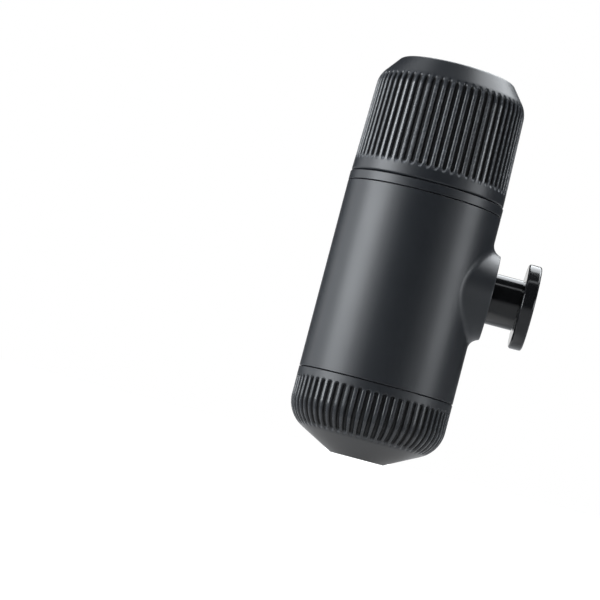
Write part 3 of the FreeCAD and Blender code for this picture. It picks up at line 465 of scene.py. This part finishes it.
rod_steel = turned_steel("ground_rod_steel", along_x=True, axis_height=PISTON_HEIGHT, roughness=0.18)
spring_steel = turned_steel("spring_wire_steel", along_x=True, axis_height=PISTON_HEIGHT, roughness=0.3,
                            dark=SPRING_DARK, light=SPRING_LIGHT)
sleeve_low, sleeve_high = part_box("piston_sleeve")
button_low, button_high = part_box("button_cap")
finish(nylon, "piston_guide")
finish(rod_steel, "plunger_rod")
finish(silicone, "plunger_seal")
finish(screw_steel, "rod_screw")
sleeve_edges = [(sleeve_low.x + SLEEVE_EDGE, sleeve_low.x)]
button_edges = [(button_low.x + BUTTON_EDGE, button_low.x + BUTTON_EDGE_FULL),
                (button_high.x - BUTTON_EDGE, button_high.x - BUTTON_EDGE_FULL)]
finish(gloss_black("gloss_sleeve", sleeve_high.y, sleeve_edges), "piston_sleeve")
finish(gloss_black("gloss_button", button_high.y, button_edges), "button_cap")

spring_low, spring_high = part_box("return_spring")
spring = bpy.data.objects.new("wound_return_spring", bpy.data.meshes.new("wound_return_spring"))
spring_run = spring_high.x - spring_low.x - SPRING_WIRE * 2
grown(spring, wound_bar, radius=SPRING_RADIUS, turns=SPRING_TURNS, lead=spring_run / SPRING_TURNS, starts=1,
      thick=SPRING_WIRE, wide=SPRING_WIRE, taper=SPRING_TAPER, sides=BAR_SIDES,
      steps=SPRING_TURNS * SPRING_TURN_STEPS + 1, tilt=(0, math.pi / 2, 0),
      place=(spring_low.x + SPRING_WIRE, 0, PISTON_HEIGHT), finish=spring_steel)
fix(spring, "casing", "steel", "return_spring")
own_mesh(spring)


# ---------------------------------------------------------------------------------------------
# Brew chamber, basket and spout: a threaded nylon cup with a foamer valve and a spout pressed
# into its floor. The drawn steel basket that holds the coffee drops in from above.

CHAMBER_NECK_RADIUS = 0.0256
CHAMBER_THREAD_BASE = 0.0322

finish(nylon, "brew_chamber", "spout_nozzle")
finish(silicone, "foamer_valve")
finish(pressed_steel, "filter_basket")
thread("chamber_thread", "outlet_head", CHAMBER_NECK_RADIUS, MALE_RISE, CHAMBER_THREAD_BASE, nylon)


# ---------------------------------------------------------------------------------------------
# Outlet head: a ribbed cup with a cone underneath and a small flat to stand on. It is moulded
# in one piece from dark grey nylon with a fine eroded surface, and pressed onto the brew chamber. Its
# ridges and the lower ends of its grooves carry a faint painted highlight, and its grooves painted shade.

head_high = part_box("outlet_shell")[1]
HEAD_RADIUS = head_high.x
HEAD_TOP = head_high.z
HEAD_WALL = 0.0024
HEAD_FLAT_RADIUS = 0.0107
HEAD_SLOPE = math.radians(27.5)
HEAD_ROUND = 0.013
HEAD_WALL_NEAR = 1e-5
HEAD_EDGE_ROUND = 0.0003
SEAM_EDGE_ROUND = 0.0002
INNER_ROUND = 0.0003
SPOUT_HOLE_RADIUS = 0.00505
HEAD_GROOVE_TOP = 0.0264
HEAD_GROOVE_END = math.radians(51)
HEAD_TIP_STRETCH = 0.45
# how strong the outlet head's painted highlights are
HEAD_PAINTED_LIGHT = 0.35

# Across a groove, 0 is its middle and 1 the end of its lip, and the wall starts between them. Where
# the shell narrows, a groove takes no more than its share of a rib. A stretch draws its end out.
RIB_COUNT = 60
RIB_TURN = math.radians(2.1)
GROOVE_WIDTH = 0.0018
GROOVE_DEPTH = 0.00115
GROOVE_LIP = 0.0004
GROOVE_WALL_START = 0.35
GROOVE_SHARE = 0.90
GROOVE_STEPS = (0.35, 0.44, 0.53, 0.63, 0.74, 0.86, 1)

# Rows of points run round the shell: one each side of a round to support it, closer ones through the
# ends of a groove, and none nearer than the gap. No lean marks a point inside a groove.
SUPPORT = 0.0004
LARGE_ROUND = 0.001
LARGE_ROUND_STEP = math.radians(6)
SMALL_ROUND_STEP = math.radians(22.5)
ROUND_STEPS_LEAST = 3
GROOVE_ROWS = 8
END_ROW = 0.0002
END_ROW_SHARE = 0.6
ROW_GAP = 2e-5
ROUNDING = 1e-9
LEAST_DEPTH = 1e-6
NO_LEAN = 9.0


class Outline:
    """A closed outline to turn round Z, from corners that are a radius, a height and the round there.

    It runs up the outside and down the inside. A lean is how far the outward normal points up, as an
    angle. A corner without a round lies on the axis and takes the lean of the face beside it."""

    def __init__(self, corners):
        self.points = []
        self.leans = []
        for number, (radius, height, bend) in enumerate(corners):
            here = Vector((radius, height))
            back = (Vector(corners[number - 1][:2]) - here).normalized()
            ahead = (Vector(corners[(number + 1) % len(corners)][:2]) - here).normalized()
            before = math.atan2(back.x, -back.y)
            after = math.atan2(-ahead.x, ahead.y)
            if not bend:
                self.points.append(here)
                self.leans.append(before if number < len(corners) / 2 else after)
                continue
            half = back.angle(ahead) / 2
            reach = bend / math.tan(half)
            centre = here + (back + ahead).normalized() * (bend / math.sin(half))
            start = here + back * reach - centre
            end = here + ahead * reach - centre
            sweep = math.atan2(start.cross(end), start.dot(end))
            one_step = LARGE_ROUND_STEP if bend > LARGE_ROUND else SMALL_ROUND_STEP
            steps = max(ROUND_STEPS_LEAST, math.ceil(abs(sweep) / one_step))
            self.points.append(centre + start + back * min(SUPPORT, bend))
            self.leans.append(before)
            for step in range(steps + 1):
                self.points.append(centre + Matrix.Rotation(sweep * step / steps, 2) @ start)
                self.leans.append(before + sweep * step / steps)
            self.points.append(centre + end + ahead * min(SUPPORT, bend))
            self.leans.append(before + sweep)
        self.points.append(self.points[0].copy())
        self.leans.append(self.leans[0])
        self.lengths = [0.0]
        for first, second in zip(self.points, self.points[1:]):
            self.lengths.append(self.lengths[-1] + (second - first).length)

    def first(self, test):
        """How far along the outline the first point lies that passes a test."""
        return next(far for far, point in zip(self.lengths, self.points) if test(point))

    def at(self, far):
        """The point and its lean at a distance along the outline."""
        place = max(n for n in range(len(self.points) - 1) if self.lengths[n] <= far + ROUNDING)
        run = self.lengths[place + 1] - self.lengths[place]
        share = (far - self.lengths[place]) / run if run else 0
        turn = math.remainder(self.leans[place + 1] - self.leans[place], 2 * math.pi)
        return self.points[place].lerp(self.points[place + 1], share), self.leans[place] + turn * share


def clamped(value):
    return min(max(value, 0), 1)


def smooth_step(value):
    value = clamped(value)
    return value * value * (3 - 2 * value)


def rib_sector(name, outline, start, end, start_stretch, end_stretch):
    """One rib's share of a turned shell: an outline swept across a groove and half a ridge each side.

    The groove runs from one distance along the outline to another and fades past both, slower with a
    smaller stretch. Each point keeps four values for the material and the normals: ridge (0 at the
    groove's floor, 1 on the ridge), rib (1 beside the groove, 0 past its ends), foot (1 half way up
    the wall of its lower end) and lean."""
    half_groove = GROOVE_WIDTH / 2 + GROOVE_LIP
    rows = list(outline.lengths)
    for middle, stretch, side in ((start, start_stretch, -1), (end, end_stretch, 1)):
        reach = half_groove / stretch
        count = math.ceil(reach / END_ROW * max(stretch, END_ROW_SHARE))
        rows += [middle + side * reach * step / count for step in range(-1, count + 2)]
    rows += [start + (end - start) * step / GROOVE_ROWS for step in range(1, GROOVE_ROWS)]
    rows = sorted(far for far in rows if 0 <= far <= outline.lengths[-1])
    kept = [far for far, after in zip(rows, rows[1:]) if after - far > ROW_GAP] + [outline.lengths[-1]]
    half_pitch = math.pi / RIB_COUNT
    to_ridge = [*GROOVE_STEPS, 2]
    offsets = [-step for step in reversed(to_ridge)] + [0] + to_ridge
    mesh = bpy.data.meshes.new(name)
    shape = bmesh.new()
    layers = {part: shape.verts.layers.float.new(part) for part in ("ridge", "rib", "foot", "lean")}
    grid = []
    for far in kept:
        point, lean = outline.at(far)
        outward = Vector((math.cos(lean), math.sin(lean)))
        below = max(start - far, 0) * start_stretch
        past = below + max(far - end, 0) * end_stretch
        groove_angle = min(half_groove / max(point.x, TOUCHING), half_pitch * GROOVE_SHARE)
        line = []
        for offset in offsets:
            across = min(abs(offset), 1)
            angle = groove_angle * across + (half_pitch - groove_angle) * max(abs(offset) - 1, 0)
            angle = math.copysign(angle, offset)
            reach = math.hypot(across, past / half_groove)
            depth = (1 - clamped((reach - GROOVE_WALL_START) / (1 - GROOVE_WALL_START))) ** 2
            spot = point - outward * GROOVE_DEPTH * depth
            vert = shape.verts.new((spot.x * math.cos(angle), spot.x * math.sin(angle), spot.y))
            vert[layers["ridge"]] = 1 - depth
            vert[layers["rib"]] = 1 - smooth_step(past / half_groove)
            vert[layers["foot"]] = 4 * depth * (1 - depth) * smooth_step(below / half_groove)
            vert[layers["lean"]] = NO_LEAN if depth > LEAST_DEPTH else lean
            line.append(vert)
        grid.append(line)
    for low, high in zip(grid, grid[1:]):
        for place in range(len(offsets) - 1):
            shape.faces.new((low[place], low[place + 1], high[place + 1], high[place]))
    shape.to_mesh(mesh)
    shape.free()
    return bpy.data.objects.new(name, mesh)


def ring_tree():
    """Repeats a sector evenly round Z, joins the copies and gives them their material."""
    tree = bpy.data.node_groups.new("ring_of_sectors", "GeometryNodeTree")
    for name, kind in (("Sector", "Geometry"), ("Count", "Int"), ("Turn", "Float"), ("Finish", "Material")):
        tree.interface.new_socket(name, in_out="INPUT", socket_type=f"NodeSocket{kind}")
    tree.interface.new_socket("Ring", in_out="OUTPUT", socket_type="NodeSocketGeometry")
    given = tree.nodes.new("NodeGroupInput")
    sector, count, turn, material = (Field(tree, given.outputs[place]) for place in range(4))
    start = Field(tree)
    points = start.node("GeometryNodeMeshLine", None, {"Count": count, "Offset": (0, 0, 0)})
    angle = start.node("GeometryNodeInputIndex") * (2 * math.pi / count) + turn
    rotation = start.node("ShaderNodeCombineXYZ", None, {"Z": angle})
    inputs = {"Points": points, "Instance": sector, "Rotation": rotation}
    copies = start.node("GeometryNodeInstanceOnPoints", None, inputs)
    real = start.node("GeometryNodeRealizeInstances", None, {"Geometry": copies})
    joined = start.node("GeometryNodeMergeByDistance", None, {"Geometry": real, "Distance": TOUCHING})
    done = start.node("GeometryNodeSetMaterial", None, {"Geometry": joined, "Material": material})
    tree.links.new(done.output, tree.nodes.new("NodeGroupOutput").inputs[0])
    return tree


def true_normals(mesh):
    """Gives a ribbed shell the exact normals of its turned outline, outside its grooves."""
    normals = []
    for vertex, lean in zip(mesh.vertices, mesh.attributes["lean"].data):
        outward = Vector((vertex.co.x, vertex.co.y, 0)).normalized()
        turned = outward * math.cos(lean.value) + Vector((0, 0, math.sin(lean.value)))
        normals.append(Vector() if lean.value == NO_LEAN else turned)
    mesh.normals_split_custom_set_from_vertices(normals)


ring = ring_tree()

head_rise = (HEAD_RADIUS - HEAD_FLAT_RADIUS) * math.tan(HEAD_SLOPE)
inner_flat = HEAD_FLAT_RADIUS - HEAD_WALL * math.tan(HEAD_SLOPE / 2)
inner_rise = HEAD_WALL + (HEAD_RADIUS - HEAD_WALL - inner_flat) * math.tan(HEAD_SLOPE)
head_outline = Outline([
    (SPOUT_HOLE_RADIUS, 0, SEAM_EDGE_ROUND),
    (HEAD_FLAT_RADIUS, 0, HEAD_EDGE_ROUND),
    (HEAD_RADIUS, head_rise, HEAD_ROUND),
    (HEAD_RADIUS, HEAD_TOP, SEAM_EDGE_ROUND),
    (HEAD_RADIUS - HEAD_WALL, HEAD_TOP, SEAM_EDGE_ROUND),
    (HEAD_RADIUS - HEAD_WALL, inner_rise, HEAD_ROUND - HEAD_WALL),
    (inner_flat, HEAD_WALL, INNER_ROUND),
    (SPOUT_HOLE_RADIUS, HEAD_WALL, SEAM_EDGE_ROUND),
])
round_middle = HEAD_RADIUS - HEAD_ROUND
groove_end_radius = round_middle + HEAD_ROUND * math.cos(HEAD_GROOVE_END)
head_groove_start = head_outline.first(lambda point: point.x > groove_end_radius)
head_wall_start = head_outline.first(lambda point: point.x > HEAD_RADIUS - HEAD_WALL_NEAR)
wall_height = head_outline.at(head_wall_start)[0].y
head_groove_stop = head_wall_start + HEAD_GROOVE_TOP - GROOVE_WIDTH / 2 - wall_height
head_sector = rib_sector("outlet_head_ribs", head_outline, head_groove_start, head_groove_stop,
                         HEAD_TIP_STRETCH, 1.0)
outlet_head = grown(head_sector, ring, count=RIB_COUNT, turn=RIB_TURN,
                    finish=case_nylon("outlet_nylon", painted_light=HEAD_PAINTED_LIGHT))
true_normals(outlet_head.data)
fix(outlet_head, "outlet_head", "case_plastic", "outlet_shell")


# ---------------------------------------------------------------------------------------------
# Water tank: the ribbed cap on top, moulded from the same nylon, with a silicone ring in its mouth.
# Its wall leans in a little, and a round shoulder leads to a cone and the flat top. Its ridges carry
# a painted highlight, its grooves painted shade, and their lower ends a painted highlight.

tank_low, tank_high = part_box("water_tank")
TANK_MOUTH_RADIUS = tank_high.x
TANK_BOTTOM = tank_low.z
TANK_TOP = tank_high.z
TANK_DRAFT = math.radians(1.4)
TANK_CROWN = 0.0124
TANK_SLOPE = math.radians(52)
TANK_SHOULDER_ROUND = 0.010
TANK_EDGE_ROUND = 0.0025
TANK_MOUTH_ROUND = 0.0009
TANK_WALL = 0.0026
TANK_SEAL_RADIUS = 0.02945
TANK_SEAL_DEPTH = 0.0019
TANK_GROOVE_BOTTOM = 0.1150
TANK_GROOVE_TOP = 0.1475
TANK_TIP_STRETCH = 0.45
TANK_FOOT_STRETCH = 0.5
# how strong the tank's painted highlights are
TANK_PAINTED_LIGHT = 1.0
TANK_THREAD_BASE = 0.1118

seal_top = TANK_BOTTOM + TANK_SEAL_DEPTH
shoulder_turn = math.pi / 2 - TANK_SLOPE - TANK_DRAFT
tank_corner = TANK_TOP - TANK_CROWN + TANK_SHOULDER_ROUND * math.tan(shoulder_turn / 2) * math.cos(TANK_DRAFT)
corner_radius = TANK_MOUTH_RADIUS - (tank_corner - TANK_BOTTOM) * math.tan(TANK_DRAFT)
top_radius = corner_radius - (TANK_TOP - tank_corner) / math.tan(TANK_SLOPE)
inner_mouth = TANK_MOUTH_RADIUS - TANK_WALL / math.cos(TANK_DRAFT)
inner_top = TANK_TOP - TANK_WALL
inner_corner_shift = TANK_WALL * math.tan(shoulder_turn / 2)
inner_corner = tank_corner - inner_corner_shift * math.cos(TANK_DRAFT) - TANK_WALL * math.sin(TANK_DRAFT)
inner_corner_radius = inner_mouth - (inner_corner - TANK_BOTTOM) * math.tan(TANK_DRAFT)
inner_top_radius = inner_corner_radius - (inner_top - inner_corner) / math.tan(TANK_SLOPE)
seal_seat_radius = inner_mouth - (seal_top - TANK_BOTTOM) * math.tan(TANK_DRAFT)
tank_outline = Outline([
    (TANK_MOUTH_RADIUS, TANK_BOTTOM, TANK_MOUTH_ROUND),
    (corner_radius, tank_corner, TANK_SHOULDER_ROUND),
    (top_radius, TANK_TOP, TANK_EDGE_ROUND),
    (0, TANK_TOP, 0),
    (0, inner_top, 0),
    (inner_top_radius, inner_top, INNER_ROUND),
    (inner_corner_radius, inner_corner, TANK_SHOULDER_ROUND - TANK_WALL),
    (seal_seat_radius, seal_top, SEAM_EDGE_ROUND),
    (TANK_SEAL_RADIUS, seal_top, SEAM_EDGE_ROUND),
    (TANK_SEAL_RADIUS, TANK_BOTTOM, SEAM_EDGE_ROUND),
])
wall_start = tank_outline.first(lambda point: point.y > TANK_BOTTOM + TANK_MOUTH_ROUND)
lift = tank_outline.at(wall_start)[0].y
tank_groove_start = wall_start + (TANK_GROOVE_BOTTOM + GROOVE_WIDTH / 2 - lift) / math.cos(TANK_DRAFT)
tank_groove_stop = tank_outline.first(lambda point: point.y > TANK_GROOVE_TOP)
tank_sector = rib_sector("water_tank_ribs", tank_outline, tank_groove_start, tank_groove_stop,
                         TANK_FOOT_STRETCH, TANK_TIP_STRETCH)
tank = grown(tank_sector, ring, count=RIB_COUNT, turn=RIB_TURN,
             finish=case_nylon("tank_nylon", painted_light=TANK_PAINTED_LIGHT))
true_normals(tank.data)
fix(tank, "tank", "case_plastic", "water_tank")
thread("tank_thread", "tank", inner_mouth, FEMALE_RISE, TANK_THREAD_BASE, case_nylon("tank_thread_nylon"))
finish(silicone, "tank_seal")


# ---------------------------------------------------------------------------------------------
# Studio: a pale floor under the rest face that brightens to white further out, a white backdrop,
# soft boxes round the machine, and a camera rolled a little, so that the machine leans in its view.

RESOLUTION = 600
SENSOR = 36.0
FOCAL_PIXELS = 2378.5
CAMERA_PLACE = Vector((0, -0.9331, 0.0019))
CAMERA_AIM = Vector((-0.0373, 0, 0.0545))
NEAREST_SEEN = 0.01
LEAN = math.radians(14.8)
FLOOR_HALF = 20.0
FLOOR_DARK = (0.50, 0.50, 0.50, 1)
FLOOR_LIGHT = (0.54, 0.54, 0.54, 1)
WHITE = (1, 1, 1, 1)
FLOOR_GLOW = 0.8
FLOOR_FAR = (0.15, 0.6)
BACKDROP_EDGE = (0.93, 0.99)
FLOOR_MIRRORED = 0.8
FLOOR_NEAR = (0.045, 0.06)
AMBIENT = 0.02
LIGHT_MIDDLE = Vector((0, 0, 0.078))
BOX_DISTANCE = 1.1
BOX_COLOUR = (0.93, 0.965, 1.0)

# Each soft box stands some degrees round from the camera's side and up. Its sizes are in metres, and
# its level is how bright its face is, where 1 shows as white.
BOXES = {
    "key_left": {"azimuth": -70, "elevation": 22, "width": 0.742, "height": 0.549, "level": 9.9},
    "front_left": {"azimuth": -40, "elevation": 12, "width": 0.379, "height": 0.508, "level": 2.6},
    "back_left": {"azimuth": -112, "elevation": 18, "width": 0.680, "height": 0.508, "level": 1.9},
    "side_right": {"azimuth": 75, "elevation": -7, "width": 0.464, "height": 0.309, "level": 6.7},
    "front_right": {"azimuth": 50, "elevation": -7, "width": 0.504, "height": 0.270, "level": 1.2},
    "top_right": {"azimuth": 105, "elevation": 45, "width": 0.85, "height": 0.65, "level": 4.1},
    "top_back": {"azimuth": 150, "elevation": 45, "width": 0.90, "height": 0.70, "level": 4.5},
    "top_left": {"azimuth": -120, "elevation": 68, "width": 0.50, "height": 0.50, "level": 1.5},
    "overhead": {"azimuth": 0, "elevation": 70, "width": 0.90, "height": 0.12, "level": 2.2},
}

view_up = Vector((-math.sin(LEAN), 0, math.cos(LEAN)))
view_right = Vector((math.cos(LEAN), 0, math.sin(LEAN)))


def look(piece, stand, aim, up):
    """Stands a lamp or camera at a place and turns it to look at a point."""
    away = (stand - aim).normalized()
    side = up.cross(away).normalized()
    turned = Matrix((side, away.cross(side), away)).transposed().to_4x4()
    piece.matrix_world = Matrix.Translation(stand) @ turned


def rays(spot):
    """1 on a ray straight from the camera, off a glossy face or through glass, and 0 on others."""
    kinds = ("Camera", "Glossy", "Transmission")
    return [spot.node("ShaderNodeLightPath", output=f"Is {kind} Ray") for kind in kinds]


camera_data = bpy.data.cameras.new("camera")
camera_data.sensor_width = SENSOR
camera_data.lens = FOCAL_PIXELS * SENSOR / RESOLUTION
camera_data.clip_start = NEAREST_SEEN
camera = bpy.data.objects.new("camera", camera_data)
bpy.context.scene.collection.objects.link(camera)
bpy.context.scene.camera = camera
look(camera, CAMERA_PLACE, CAMERA_AIM, view_up)

for name, box in BOXES.items():
    azimuth = math.radians(box["azimuth"])
    elevation = math.radians(box["elevation"])
    level_way = view_right * math.sin(azimuth) - Vector((0, math.cos(azimuth), 0))
    way = level_way * math.cos(elevation) + view_up * math.sin(elevation)
    lamp = bpy.data.lights.new(name, "AREA")
    lamp.shape = "RECTANGLE"
    lamp.size = box["width"]
    lamp.size_y = box["height"]
    lamp.color = BOX_COLOUR
    lamp.energy = box["level"] * math.pi * box["width"] * box["height"]
    stand = bpy.data.objects.new(name, lamp)
    stand.visible_camera = False
    bpy.context.scene.collection.objects.link(stand)
    look(stand, LIGHT_MIDDLE + way * BOX_DISTANCE, LIGHT_MIDDLE, view_up)

floor_mesh = bpy.data.meshes.new("floor")
corners = [(-1, -1), (1, -1), (1, 1), (-1, 1)]
floor_mesh.from_pydata([(x * FLOOR_HALF, y * FLOOR_HALF, 0) for x, y in corners], [], [(0, 1, 2, 3)])
floor = bpy.data.objects.new("floor", floor_mesh)
bpy.context.scene.collection.objects.link(floor)
pale, spot = new_material("pale_floor")
mottle = spot.noise(6, 2.0)
matt = spot.node("ShaderNodeBsdfDiffuse", None, {"Color": mottle.blend(FLOOR_DARK, FLOOR_LIGHT)})
seen, mirrored, through = rays(spot)
x, y, z = spot.axes()
reach = (x * x + y * y).math("SQRT")
under = (1 - reach.blur_step(*FLOOR_NEAR)) * FLOOR_MIRRORED
seen = (seen + through + mirrored * under).math("MINIMUM", 1.0)
strength = seen * (FLOOR_GLOW + reach.blur_step(*FLOOR_FAR) * (1 - FLOOR_GLOW))
glow = spot.node("ShaderNodeEmission", None, {"Color": WHITE, "Strength": strength})
both = spot.node("ShaderNodeAddShader", None, {0: matt, 1: glow})
spot.node("ShaderNodeOutputMaterial", None, {"Surface": both})
floor_mesh.materials.append(pale)

world = bpy.data.worlds.new("studio")
bpy.context.scene.world = world
world.use_nodes = True
world.node_tree.nodes.clear()
sky = Field(world.node_tree)
seen, mirrored, through = rays(sky)
behind = sky.node("ShaderNodeTexCoord", output="Generated").axes()[1].blur_step(*BACKDROP_EDGE)
level = (seen + through + mirrored * behind).math("MINIMUM", 1.0).math("MAXIMUM", AMBIENT)
backdrop = sky.node("ShaderNodeBackground", None, {"Color": WHITE, "Strength": level})
sky.node("ShaderNodeOutputWorld", None, {"Surface": backdrop})
bpy.context.scene.view_settings.view_transform = "Standard"
